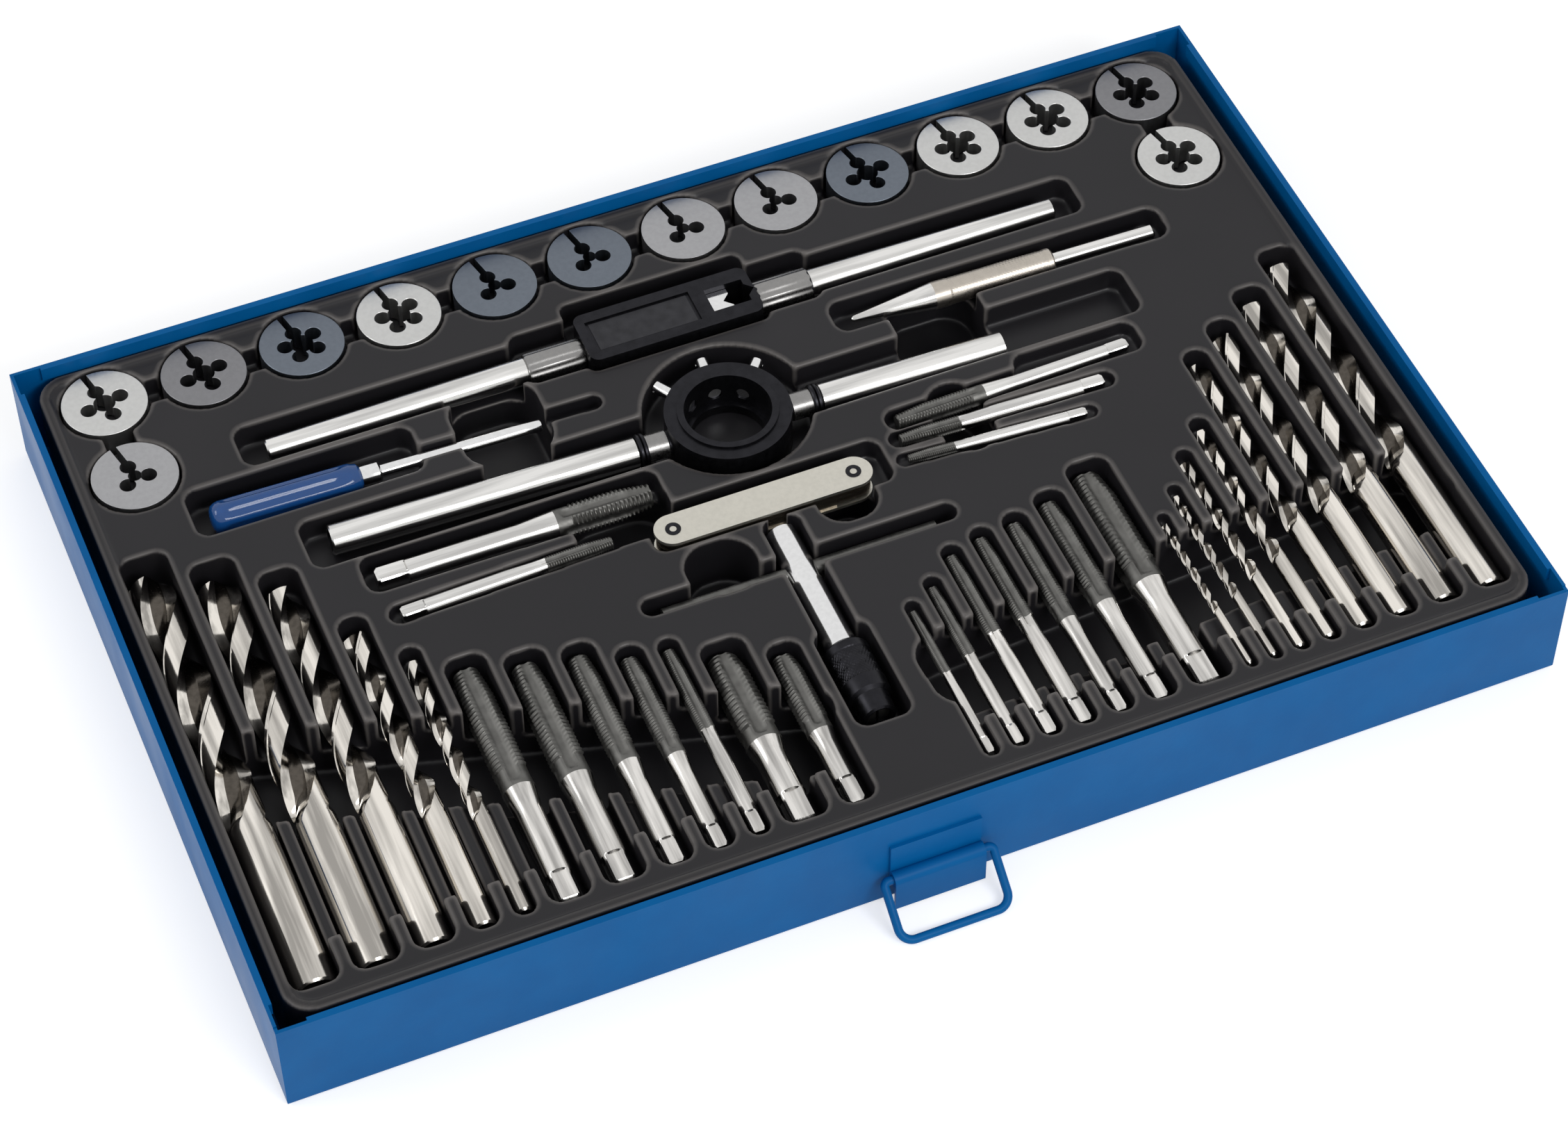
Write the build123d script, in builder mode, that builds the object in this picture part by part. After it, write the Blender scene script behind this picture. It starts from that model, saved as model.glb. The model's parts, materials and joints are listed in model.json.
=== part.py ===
from build123d import *
from math import acos, atan2, cos, degrees, hypot, pi, radians, sin, tan
import os

# Tap and die storage drawer: a folded sheet-metal tray with a bail handle and a moulded insert of hand tools.
# Millimetres. The origin is the middle of the drawer's underside, +X to the right, +Y to the back, +Z up.

os.makedirs("parts", exist_ok=True)

# ---- drawer tray
drawer_width = 380.0
drawer_depth = 248.0
drawer_height = 35.0
front_drop = 0.5
sheet = 1.0
bend_radius = 1.4
hem_height = 4.5
hem_notch = 9.0

# ---- handle
handle_x = -3.5
wire_diameter = 2.5
bail_width = 32.5
bail_arm = 17.3
bail_corner = 4.0
bail_end_gap = 1.0
roll_height = 12.0
roll_clearance = 0.1
bracket_width = 27.0
bracket_top = 24.0
bracket_bottom = 1.0
panel_gap = 0.25

# ---- moulded insert
plateau = 30.0
wall_gap_side = 4.5
wall_gap_front = 4.5
wall_gap_back = 1.5
insert_corner = 9.0
rim_width = 3.0
rim_height = 1.1
skin = 1.5
pocket_side = 0.65
pocket_end = 2.5
seat_gap = 0.3
rim_gap = 0.3
floor_step = 0.5
pocket_corner = 4.0
tool_top = 28.5
cross_top = 31.0
row_front_gap = 10.5
trough_floor = 9.0
recess_floor = 11.0
shelf_floor = 24.0
shelf_front = -97.0
left_shelf_end = -24.0
left_shelf_back = (-42.0, -84.0)
right_shelf_start = 17.0
right_shelf_back = (-80.0, -70.0)
finger_recesses = (
    ((-62.5, 40.0), (-62.5, 70.0), 27.0),
    ((72.0, 27.0), (72.0, 59.0), 28.0),
    ((-58.0, 9.0), (-28.0, 9.0), 22.0),
    ((62.0, 19.0), (62.0, -8.0), 16.0),
    ((-34.0, -20.0), (-13.0, -20.0), 19.5),
    ((10.0, -10.5), (28.0, -10.5), 16.0),
)
left_trough_end = (-15.0, -83.0)
left_trough_back = -34.6
right_trough_start = (14.0, -78.5)
right_trough_back = -67.5
trough_width = 27.0
trough_corner = 9.0
recess_corner = 9.0

# ---- front row tools, from left to right: diameter and overall length
left_row_end = -14.2
right_row_start = 18.0
left_drills = ((12.6, 153.0), (12.0, 144.0), (10.4, 133.5), (7.4, 109.0), (5.2, 92.5))
left_taps = ((10.8, 83.6), (10.8, 79.1), (8.6, 75.8), (7.2, 69.4), (5.0, 67.5), (12.0, 61.1), (8.8, 53.8))
right_taps = ((3.2, 53.4), (4.2, 59.4), (5.2, 68.0), (5.8, 70.8), (6.6, 72.2), (8.2, 75.8), (12.0, 81.9))
right_drills = (
    (2.4, 55.0), (2.9, 63.5), (3.9, 74.5), (4.8, 84.0), (6.6, 108.3), (8.0, 116.3), (9.4, 125.0), (10.2, 136.3),
)

# ---- drill and tap proportions
helix_angle = 30.0
point_angle = 118.0
flute_share = 0.64
flute_radius_share = 0.92
flute_centre_share = 1.14
thread_share = 0.52
shank_share = 0.74
slim_tap = 6.0
square_share = 0.78
square_length_share = 0.95
square_run = 2.0
tap_flutes = 4
tap_flute_share = 0.2
tap_flute_circle = 0.53
tap_lead = 0.12
tap_tip_share = 0.38

# ---- middle taps: thread end, square end, diameter, thread length and room beside the tap in its pocket
middle_taps = (
    ((-31.8, 15.1), (-114.8, 15.7), 9.6, 29.0, 2.2),
    ((-48.8, 1.1), (-112.8, -0.9), 5.0, 24.0, 0.9),
    ((44.2, 11.7), (119.2, 13.5), 6.6, 28.0, 0.65),
    ((42.2, 4.5), (106.2, 2.5), 5.0, 22.0, 0.65),
    ((41.2, -3.5), (96.2, -7.1), 3.6, 17.0, 0.65),
)
middle_front_gap = 3.5
middle_wide_pocket = ((84.5, 15.2), (123.5, 15.2), 12.0)

# ---- round split dies
die_diameter = 25.4
die_thickness = 9.0
die_proud = 0.3
die_side_gap = 17.6
die_back_gap = 14.7
die_count = 12
die_slit = 2.0
die_slit_angle = 103.0
die_channel = 9.0
die_channel_floor = 22.5
three_hole_dies = (4, 5, 6, 7, 12)
four_hole_dies = (0, 1, 8)
five_hole_dies = (2, 3, 9, 10, 11, 13)
hole_patterns = {3: (2.0, 4.0, 2.4), 4: (3.2, 5.2, 2.4), 5: (3.4, 5.0, 2.4)}

# ---- adjustable tap wrench
wrench_x = -2.6
wrench_y = 73.95
wrench_z = 26.5
wrench_body = (55.0, 19.0, 12.0)
wrench_body_corner = 3.0
wrench_window = (12.0, 9.0)
wrench_window_x = 16.4
wrench_panel = (36.0, 12.0, 0.8)
wrench_pin = 1.6
jaw_size = (16.0, 9.0, 8.0)
jaw_clearance = 0.15
jaw_rest_gap = 5.0
jaw_travel_open = 4.0
jaw_notch = 2.4
screw_diameter = 5.0
screw_clearance = 0.1
neck_diameter = 10.0
neck_length = 17.5
handle_length = 80.5
handle_inner = 8.6
handle_outer = 6.8
wrench_end_room = 8.0
wrench_pocket = (75.1, 15.4)
wrench_neck_pocket = (75.8, 20.2)
wrench_body_pocket = (77.4, 28.4)

# ---- die stock
stock_x = -0.95
stock_y = 30.95
stock_z = 26.5
stock_angle = -1.7
ring_pocket = ((0.3, 34.6), 25.0)
stock_pocket = ((-130.0, 32.5), (129.5, 32.5), 18.2)
ring_diameter = 37.5
ring_height = 13.5
ring_clearance = 0.2
ring_shoulder = 1.8
ring_shoulder_height = 3.0
ring_lip = (2.0, 0.8)
stock_neck = (7.6, 9.5)
stock_handle_diameter = 9.0
stock_handle_wall = 1.2
stock_handle_left = 93.0
stock_handle_right = 58.5
set_screw_angles = (49.0, 85.5, 122.0)
set_screw_diameter = 4.0
set_screw_length = 13.0
set_screw_slot = (0.8, 1.0)
screw_tip_gap = 0.3

# ---- T-handle tap wrench
tee_x = -2.0
tee_back = -11.5
tee_front = -83.0
tee_shaft = 9.6
tee_bar_y = -26.0
tee_bar_diameter = 4.5
tee_bar_length = 84.0
tee_bar_clearance = 0.1
tee_bar_slot = 96.5
chuck_diameter = 14.0
chuck_length = 19.0
chuck_nose = 11.0
chuck_nose_length = 6.5
chuck_clearance = 0.1
spindle_nose = 7.6
jaw_gap = 0.8
jaw_length = 9.0
jaw_inset = 2.0

# ---- screw pitch gauge
gauge_x = -3.7
gauge_y = -2.9
gauge_length = 67.0
gauge_width = 11.0
gauge_height = 8.0
gauge_plate = 1.1
gauge_rivet = 3.6
gauge_eyelet = 2.4
gauge_rivet_span = 55.8
gauge_leaves = 6
leaf_gap = 0.05
leaf_inset = 0.5
gauge_pocket = ((-38.5, -0.65), (35.4, -0.65), 16.5)

# ---- screwdriver and centre punch
driver_ends = ((-151.3, 55.3), (-51.3, 52.7))
driver_handle = (45.0, 9.8)
driver_cap = (1.5, 3.0)
driver_flutes = 6
driver_flute = 1.6
driver_collar = (6.0, 6.4)
driver_shaft = 4.0
driver_pocket = ((-156.5, 56.2), (-88.0, 56.2), 18.0)
driver_blade_room = 19.0
punch_ends = ((48.6, 55.3), (146.8, 53.3))
punch_tip = (26.0, 2.0)
punch_body = (39.0, 8.4)
punch_rod = 4.8
punch_pocket = ((42.6, 55.4), (150.5, 54.4), 12.4)

# ---- derived places
half_width = drawer_width / 2
half_depth = drawer_depth / 2
wire_radius = wire_diameter / 2
roll_inner = wire_radius + roll_clearance
roll_outer = roll_inner + sheet
roll_y = -half_depth - panel_gap - roll_outer
insert_left = -half_width + sheet + wall_gap_side
insert_right = -insert_left
insert_front = -half_depth + sheet + wall_gap_front
insert_back = half_depth - sheet - wall_gap_back
insert_depth = insert_back - insert_front
insert_y = (insert_back + insert_front) / 2
die_top = plateau + die_proud
die_radius = die_diameter / 2
row_front = insert_front + row_front_gap
row_left = insert_left + rim_width + rim_gap
row_right = insert_right - rim_width - rim_gap
left_trough = ((row_left + wall_gap_side, left_trough_back), left_trough_end)
right_trough = (right_trough_start, (row_right, right_trough_back))
left_shelf = (
    (row_left, left_shelf_back[0]),
    (row_left, shelf_front),
    (left_shelf_end, shelf_front),
    (left_shelf_end, left_shelf_back[1]),
)
right_shelf = (
    (right_row_start, right_shelf_back[0]),
    (right_row_start, shelf_front),
    (row_right, shelf_front),
    (row_right, right_shelf_back[1]),
)
row_end_x = insert_right - die_side_gap
die_pitch = 2 * row_end_x / (die_count - 1)
die_row_y = insert_back - die_back_gap
die_places = [(-row_end_x + die_pitch * i, die_row_y) for i in range(die_count)]
die_places += [(-row_end_x, die_row_y - die_pitch), (row_end_x, die_row_y - die_pitch)]


def row_places(left, right, tools):
    """The X of each tool in a row that fills the width given, with equal webs between the pockets."""
    widths = [tool[0] + 2 * pocket_side for tool in tools]
    web = (right - left - sum(widths)) / (len(tools) - 1)
    places = []
    for width in widths:
        places.append(left + width / 2)
        left += width + web
    return places


def lying(start, end, height):
    """A plane across a lying tool's axis at its start, with local Z along the tool and local X level."""
    run = Vector(end[0] - start[0], end[1] - start[1], 0).normalized()
    return Plane(origin=(start[0], start[1], height), x_dir=(-run.Y, run.X, 0), z_dir=run)


def span(start, end):
    """Middle, length and angle of a line on the plan."""
    middle = ((start[0] + end[0]) / 2, (start[1] + end[1]) / 2)
    return middle, hypot(end[0] - start[0], end[1] - start[1]), degrees(atan2(end[1] - start[1], end[0] - start[0]))


def along(start, end, distance):
    """The point at a distance along a line on the plan."""
    reach = distance / hypot(end[0] - start[0], end[1] - start[1])
    return (start[0] + (end[0] - start[0]) * reach, start[1] + (end[1] - start[1]) * reach)


# ---- drawer tray: floor, back and side walls with folded hems, and a front panel across their ends
with BuildPart() as drawer_tray:
    with BuildSketch(Plane.XY):
        Rectangle(drawer_width, drawer_depth)
    extrude(amount=drawer_height)
    fillet(drawer_tray.edges().group_by(Axis.Z)[0], radius=bend_radius)
    with BuildSketch(Plane.XY.offset(sheet)):
        Rectangle(drawer_width - 2 * sheet, drawer_depth - 2 * sheet)
    extrude(amount=drawer_height, mode=Mode.SUBTRACT)
    with BuildSketch(Plane.XY.offset(drawer_height - hem_height)):
        for side in (-1, 1):
            with Locations((side * (half_width - 1.5 * sheet), 0)):
                Rectangle(sheet, drawer_depth - 2 * hem_notch)
            with Locations((0, side * (half_depth - 1.5 * sheet))):
                Rectangle(drawer_width - 2 * hem_notch, sheet)
    extrude(amount=hem_height)
    with BuildSketch(Plane.XY.offset(drawer_height - front_drop)):
        with Locations((0, -half_depth + sheet)):
            Rectangle(drawer_width, 2 * sheet)
    extrude(amount=front_drop, mode=Mode.SUBTRACT)

drawer_tray.part.label = "drawer_tray"
export_step(drawer_tray.part, "parts/drawer_tray.step")

# ---- handle bracket: one strip, flat on the panel, rolled round the wire and hanging in front
with BuildPart() as handle_bracket:
    with BuildSketch(Plane.YZ.offset(handle_x - bracket_width / 2)):
        with Locations((-half_depth - sheet / 2, (roll_height + bracket_top) / 2)):
            Rectangle(sheet, bracket_top - roll_height)
        with Locations((roll_y - roll_outer + sheet / 2, (roll_height + bracket_bottom) / 2)):
            Rectangle(sheet, roll_height - bracket_bottom)
        with Locations((roll_y, roll_height)):
            Circle(roll_outer)
            Circle(roll_inner, mode=Mode.SUBTRACT)
    extrude(amount=bracket_width)

handle_bracket.part.label = "handle_bracket"
export_step(handle_bracket.part, "parts/handle_bracket.step")

# ---- bail handle: bent wire that rests on the bench, its two ends meeting inside the roll
bail_angle = acos((roll_height - wire_radius) / bail_arm)
bail_plane = Plane(
    origin=(handle_x, roll_y, roll_height), x_dir=(1, 0, 0), z_dir=(0, cos(bail_angle), -sin(bail_angle))
)
with BuildPart() as bail_handle:
    with BuildLine(bail_plane):
        bail_line = FilletPolyline(
            (bail_end_gap / 2, 0),
            (bail_width / 2, 0),
            (bail_width / 2, bail_arm),
            (-bail_width / 2, bail_arm),
            (-bail_width / 2, 0),
            (-bail_end_gap / 2, 0),
            radius=[wire_radius * 1.2, bail_corner, bail_corner, wire_radius * 1.2],
        )
    with BuildSketch(Plane(origin=bail_line @ 0, z_dir=bail_line % 0)):
        Circle(wire_radius)
    sweep(path=bail_line)

bail_handle.part.label = "bail_handle"
export_step(bail_handle.part, "parts/bail_handle.step")

# ---- pockets of the insert: middle, length, width, angle, floor height and corner radius of each slot
pockets = []


def add_pocket(start, end, width, floor, corner=pocket_corner):
    """A slot from one end point to the other, its floor rounded down to a whole step."""
    middle, length, angle = span(start, end)
    pockets.append((middle, length, width, angle, floor // floor_step * floor_step, corner))


def pocket_outline(length, width, corner):
    """A pocket seen from above: rounded corners if it is wide, round ends if it is narrow."""
    if width > 2 * corner:
        RectangleRounded(length, width, corner)
    else:
        SlotOverall(length, width)


drill_seats = []
tap_seats = []
for left, right, rows in (
    (row_left, left_row_end, ((drill_seats, left_drills), (tap_seats, left_taps))),
    (right_row_start, row_right, ((tap_seats, right_taps), (drill_seats, right_drills))),
):
    tools = rows[0][1] + rows[1][1]
    owners = [rows[0][0]] * len(rows[0][1]) + [rows[1][0]] * len(rows[1][1])
    for x, (diameter, length), seats in zip(row_places(left, right, tools), tools, owners):
        seats.append(((x, row_front), (x, row_front + length), tool_top, diameter, length * thread_share))
        add_pocket(
            (x, row_front - pocket_end),
            (x, row_front + length + pocket_end),
            diameter + 2 * pocket_side,
            tool_top - diameter - seat_gap,
        )

for tip, square, diameter, thread_length, room in middle_taps:
    tap_seats.append((square, tip, cross_top, diameter, thread_length))
    add_pocket(
        along(square, tip, -middle_front_gap),
        along(tip, square, -middle_front_gap),
        diameter + 2 * room,
        cross_top - diameter - seat_gap,
    )
add_pocket(*middle_wide_pocket, cross_top - middle_taps[2][2] - seat_gap)

wrench_left = wrench_x - wrench_body[0] / 2
wrench_right = wrench_x + wrench_body[0] / 2
wrench_floor = wrench_z - neck_diameter / 2 - seat_gap
for reach, (pocket_y, pocket_width) in (
    (neck_length + handle_length + wrench_end_room, wrench_pocket),
    (neck_length + pocket_end, wrench_neck_pocket),
):
    add_pocket((wrench_left - reach, pocket_y), (wrench_right + reach, pocket_y), pocket_width, wrench_floor)
body_pocket_y, body_pocket_width = wrench_body_pocket
add_pocket(
    (wrench_left - 2 * pocket_side, body_pocket_y),
    (wrench_right + 2 * pocket_side, body_pocket_y),
    body_pocket_width,
    wrench_z - wrench_body[2] / 2 - seat_gap,
    wrench_body_corner,
)

stock_run = Vector(cos(radians(stock_angle)), sin(radians(stock_angle)), 0)
stock_centre = Vector(stock_x, stock_y, stock_z)
ring_radius = ring_diameter / 2
stock_neck_end = ring_radius + stock_neck[1]
ring_pocket_place, ring_pocket_radius = ring_pocket
add_pocket(*stock_pocket, stock_z - stock_handle_diameter / 2 - seat_gap)

tee_z = tool_top - tee_shaft / 2
add_pocket(
    (tee_x, tee_back + pocket_end),
    (tee_x, tee_front - pocket_end),
    tee_shaft + 3 * pocket_side,
    tee_z - chuck_nose / 2 - seat_gap,
)
add_pocket(
    (tee_x, tee_front + chuck_length + chuck_nose_length + 2 * pocket_end),
    (tee_x, tee_front - 2 * pocket_end),
    chuck_diameter + 4 * pocket_side,
    tee_z - chuck_diameter / 2 - seat_gap,
)
add_pocket(
    (tee_x - tee_bar_slot / 2, tee_bar_y),
    (tee_x + tee_bar_slot / 2, tee_bar_y),
    tee_bar_diameter + 3 * pocket_side,
    tee_z - tee_bar_diameter / 2 - seat_gap,
)
add_pocket(*gauge_pocket, cross_top - gauge_height - seat_gap)

driver_z = cross_top - driver_handle[1] / 2
add_pocket(*driver_pocket, driver_z - driver_handle[1] / 2 - seat_gap)
add_pocket(
    along(*driver_ends, driver_handle[0]),
    along(*driver_ends, span(*driver_ends)[1] + driver_blade_room),
    driver_shaft + 2 * pocket_side,
    driver_z - driver_shaft / 2 - seat_gap,
)
punch_z = cross_top - punch_body[1] / 2
add_pocket(*punch_pocket, punch_z - punch_body[1] / 2 - seat_gap)
add_pocket(die_places[0], die_places[die_count - 1], die_channel, die_channel_floor)
add_pocket(die_places[0], die_places[die_count], die_channel, die_channel_floor)
add_pocket(die_places[die_count - 1], die_places[die_count + 1], die_channel, die_channel_floor)

# finger troughs under the two front rows, and the finger recesses between the middle tools
add_pocket(*left_trough, trough_width, trough_floor, trough_corner)
add_pocket(*right_trough, trough_width, trough_floor, trough_corner)
for start, end, width in finger_recesses:
    add_pocket(start, end, width, recess_floor, recess_corner)

# ---- tool insert: a moulded sheet with a raised rim, its pocket walls reaching down to the tray floor
with BuildPart() as tool_insert:
    with BuildSketch(Plane.XY.offset(sheet)):
        with Locations((0, insert_y)):
            RectangleRounded(insert_right - insert_left, insert_depth, insert_corner)
    extrude(amount=plateau + rim_height - sheet)
    with BuildSketch(Plane.XY.offset(plateau)):
        with Locations((0, insert_y)):
            RectangleRounded(
                insert_right - insert_left - 2 * rim_width, insert_depth - 2 * rim_width, insert_corner - rim_width
            )
    extrude(amount=rim_height, mode=Mode.SUBTRACT)
    # the hollow underside, between the boxes that the pockets stand in
    with BuildSketch(Plane.XY.offset(sheet)):
        with Locations((0, insert_y)):
            Rectangle(insert_right - insert_left - 2 * skin, insert_depth - 2 * skin)
        for middle, length, width, angle, floor, corner in pockets:
            with Locations(Location((*middle, 0), (0, 0, angle))):
                Rectangle(length + 2 * skin, width + 2 * skin, mode=Mode.SUBTRACT)
        Polygon(*left_shelf, align=None, mode=Mode.SUBTRACT)
        Polygon(*right_shelf, align=None, mode=Mode.SUBTRACT)
        for place in die_places:
            with Locations(place):
                Rectangle(die_diameter + 4 * skin, die_diameter + 4 * skin, mode=Mode.SUBTRACT)
        with Locations(ring_pocket_place):
            Circle(ring_pocket_radius + 2 * skin, mode=Mode.SUBTRACT)
    extrude(amount=plateau - skin - sheet, mode=Mode.SUBTRACT)
    with BuildSketch(Plane.XY.offset(shelf_floor)):
        Polygon(*left_shelf, align=None)
        Polygon(*right_shelf, align=None)
    extrude(amount=drawer_height, mode=Mode.SUBTRACT)
    for level in sorted({pocket[4] for pocket in pockets}):
        with BuildSketch(Plane.XY.offset(level)):
            for middle, length, width, angle, floor, corner in pockets:
                if floor == level:
                    with Locations(Location((*middle, 0), (0, 0, angle))):
                        pocket_outline(length, width, corner)
        extrude(amount=drawer_height, mode=Mode.SUBTRACT)
    with BuildSketch(Plane.XY.offset(die_top - die_thickness - seat_gap)):
        with Locations(*die_places):
            Circle(die_radius + pocket_side)
    extrude(amount=drawer_height, mode=Mode.SUBTRACT)
    with BuildSketch(Plane.XY.offset(stock_z - ring_height / 2 - seat_gap)):
        with Locations(ring_pocket_place):
            Circle(ring_pocket_radius)
    extrude(amount=drawer_height, mode=Mode.SUBTRACT)

tool_insert.part.label = "tool_insert"
export_step(tool_insert.part, "parts/tool_insert.step")


def build_drill(seat, diameter, length):
    """A twist drill: plain shank, two helical flutes swept round the web, and a conical point."""
    radius = diameter / 2
    flute_length = length * flute_share
    shank_length = length - flute_length
    lead = diameter * pi / tan(radians(helix_angle))
    start = seat.from_local_coords((0, 0, shank_length))
    point_length = radius / tan(radians(point_angle / 2))
    with BuildPart() as drill:
        with BuildSketch(seat):
            Circle(radius)
        extrude(amount=shank_length)
        with BuildSketch(seat.offset(shank_length)) as section:
            Circle(radius)
            with PolarLocations(radius * flute_centre_share, 2):
                Circle(radius * flute_radius_share, mode=Mode.SUBTRACT)
        sweep(
            path=Line(start, seat.from_local_coords((0, 0, length))),
            binormal=Helix(pitch=lead, height=flute_length, radius=radius, center=start, direction=seat.z_dir),
        )
        with BuildSketch(Plane(origin=seat.origin, x_dir=seat.x_dir, z_dir=seat.y_dir)):
            with BuildLine():
                Polyline(
                    (0, -length),
                    (diameter, 2 * point_length - length),
                    (diameter, -length - diameter),
                    (0, -length - diameter),
                    close=True,
                )
            make_face()
        revolve(axis=Axis(seat.origin, seat.z_dir), mode=Mode.SUBTRACT)
    return drill.part


def build_tap(seat, diameter, length, thread_length):
    """A hand tap: square drive, plain shank and a fluted cutting end with a tapered lead."""
    shank = diameter if diameter < slim_tap else diameter * shank_share
    square_length = shank * square_length_share + square_run
    lead = length * tap_lead
    with BuildPart() as tap:
        with BuildSketch(seat):
            Rectangle(shank * square_share, shank * square_share)
        extrude(amount=square_length)
        with BuildSketch(seat.offset(square_length)):
            Circle(shank / 2)
        extrude(amount=length - thread_length - square_length)
        with BuildSketch(seat.offset(length - thread_length)):
            Circle(diameter / 2)
        extrude(amount=thread_length - lead)
        with BuildSketch(seat.offset(length - lead)):
            Circle(diameter / 2)
        with BuildSketch(seat.offset(length)):
            Circle(diameter * tap_tip_share)
        loft()
        with BuildSketch(seat.offset(length - thread_length)):
            with PolarLocations(diameter * tap_flute_circle, tap_flutes, start_angle=45):
                Circle(diameter * tap_flute_share)
        extrude(amount=thread_length, mode=Mode.SUBTRACT)
    return tap.part


for number, (start, end, top, diameter, thread_length) in enumerate(drill_seats, 1):
    seat = lying(start, end, top - diameter / 2)
    drill = build_drill(seat, diameter, span(start, end)[1])
    drill.label = f"drill_{number}"
    export_step(drill, f"parts/drill_{number}.step")

for number, (start, end, top, diameter, thread_length) in enumerate(tap_seats, 1):
    seat = lying(start, end, top - diameter / 2)
    tap = build_tap(seat, diameter, span(start, end)[1], thread_length)
    tap.label = f"tap_{number}"
    export_step(tap, f"parts/tap_{number}.step")

# ---- round split dies, one node for each pattern of clearance holes
for label, holes, members in (
    ("dies_three_hole", 3, three_hole_dies),
    ("dies_four_hole", 4, four_hole_dies),
    ("dies_five_hole", 5, five_hole_dies),
):
    centre_radius, hole_circle, hole_radius = hole_patterns[holes]
    with BuildPart() as dies:
        with BuildSketch(Plane.XY.offset(die_top - die_thickness)):
            for member in members:
                with Locations(Location((*die_places[member], 0), (0, 0, die_slit_angle))):
                    Circle(die_radius)
                    Circle(centre_radius, mode=Mode.SUBTRACT)
                    with PolarLocations(hole_circle, holes):
                        Circle(hole_radius, mode=Mode.SUBTRACT)
                    with Locations((die_radius / 2, 0)):
                        Rectangle(die_radius, die_slit, mode=Mode.SUBTRACT)
        extrude(amount=die_thickness)
    dies.part.label = label
    export_step(dies.part, f"parts/{label}.step")

# ---- adjustable tap wrench: body with its window, sliding jaw, screw handle and fixed handle
jaw_x = wrench_window_x - wrench_window[0] / 2 + (wrench_window[0] - jaw_rest_gap) - jaw_size[0] / 2
channel_left = jaw_x - jaw_size[0] / 2 - jaw_travel_open - 1
window_right = wrench_window_x + wrench_window[0] / 2
wrench_axis = Plane(origin=(wrench_x, wrench_y, wrench_z), x_dir=(0, 1, 0), z_dir=(1, 0, 0))
wrench_bottom = wrench_z - wrench_body[2] / 2
wrench_top = wrench_z + wrench_body[2] / 2
panel_x = wrench_left + wrench_panel[0] / 2 + wrench_body_corner / 2
with BuildPart() as tap_wrench_body:
    with BuildSketch(Plane.XY.offset(wrench_bottom)):
        with Locations((wrench_x, wrench_y)):
            RectangleRounded(wrench_body[0], wrench_body[1], wrench_body_corner)
    extrude(amount=wrench_body[2])
    with BuildSketch(Plane.XY.offset(wrench_bottom)):
        with Locations((wrench_window_x, wrench_y)):
            Rectangle(*wrench_window)
        with Locations((window_right, wrench_y)):
            RegularPolygon(jaw_notch, 4)
    extrude(amount=wrench_body[2], mode=Mode.SUBTRACT)
    with BuildSketch(Plane.XY.offset(wrench_z - jaw_size[2] / 2 - jaw_clearance)):
        with Locations(((channel_left + window_right) / 2, wrench_y)):
            Rectangle(window_right - channel_left, jaw_size[1] + 2 * jaw_clearance)
    extrude(amount=jaw_size[2] + 2 * jaw_clearance, mode=Mode.SUBTRACT)
    with BuildSketch(wrench_axis.offset(wrench_left - wrench_x)):
        Circle(screw_diameter / 2 + screw_clearance)
    extrude(amount=channel_left - wrench_left, mode=Mode.SUBTRACT)
    with BuildSketch(Plane.XY.offset(wrench_top - wrench_panel[2])):
        with Locations((panel_x, wrench_y)):
            Rectangle(wrench_panel[0] - wrench_body_corner, wrench_panel[1])
    extrude(amount=wrench_panel[2], mode=Mode.SUBTRACT)
    with BuildSketch(Plane.XY.offset(wrench_top - 2 * wrench_panel[2])):
        with Locations((panel_x, wrench_y)):
            Circle(wrench_pin / 2)
    extrude(amount=wrench_panel[2], mode=Mode.SUBTRACT)
    with BuildSketch(wrench_axis.offset(wrench_right - wrench_x)):
        Circle(neck_diameter / 2)
    extrude(amount=neck_length)

tap_wrench_body.part.label = "tap_wrench_body"
export_step(tap_wrench_body.part, "parts/tap_wrench_body.step")

with BuildPart() as tap_wrench_jaw:
    with BuildSketch(Plane.XY.offset(wrench_z - jaw_size[2] / 2)):
        with Locations((jaw_x, wrench_y)):
            Rectangle(jaw_size[0], jaw_size[1])
        with Locations((jaw_x + jaw_size[0] / 2, wrench_y)):
            RegularPolygon(jaw_notch, 4, mode=Mode.SUBTRACT)
    extrude(amount=jaw_size[2])
    with BuildSketch(wrench_axis.offset(jaw_x - jaw_size[0] / 2 - wrench_x)):
        Circle(screw_diameter / 2 + screw_clearance)
    extrude(amount=jaw_size[0] - 2 * jaw_notch, mode=Mode.SUBTRACT)

tap_wrench_jaw.part.label = "tap_wrench_jaw"
export_step(tap_wrench_jaw.part, "parts/tap_wrench_jaw.step")

with BuildPart() as tap_wrench_screw_handle:
    left_face = wrench_left - wrench_x - seat_gap
    with BuildSketch(wrench_axis.offset(left_face - neck_length)):
        Circle(neck_diameter / 2)
    extrude(amount=neck_length)
    with BuildSketch(wrench_axis.offset(left_face)):
        Circle(screw_diameter / 2)
    extrude(amount=jaw_x - wrench_x - left_face - jaw_travel_open)
    with BuildSketch(wrench_axis.offset(left_face - neck_length)):
        Circle(handle_inner / 2)
    with BuildSketch(wrench_axis.offset(left_face - neck_length - handle_length)):
        Circle(handle_outer / 2)
    loft()

tap_wrench_screw_handle.part.label = "tap_wrench_screw_handle"
export_step(tap_wrench_screw_handle.part, "parts/tap_wrench_screw_handle.step")

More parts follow.
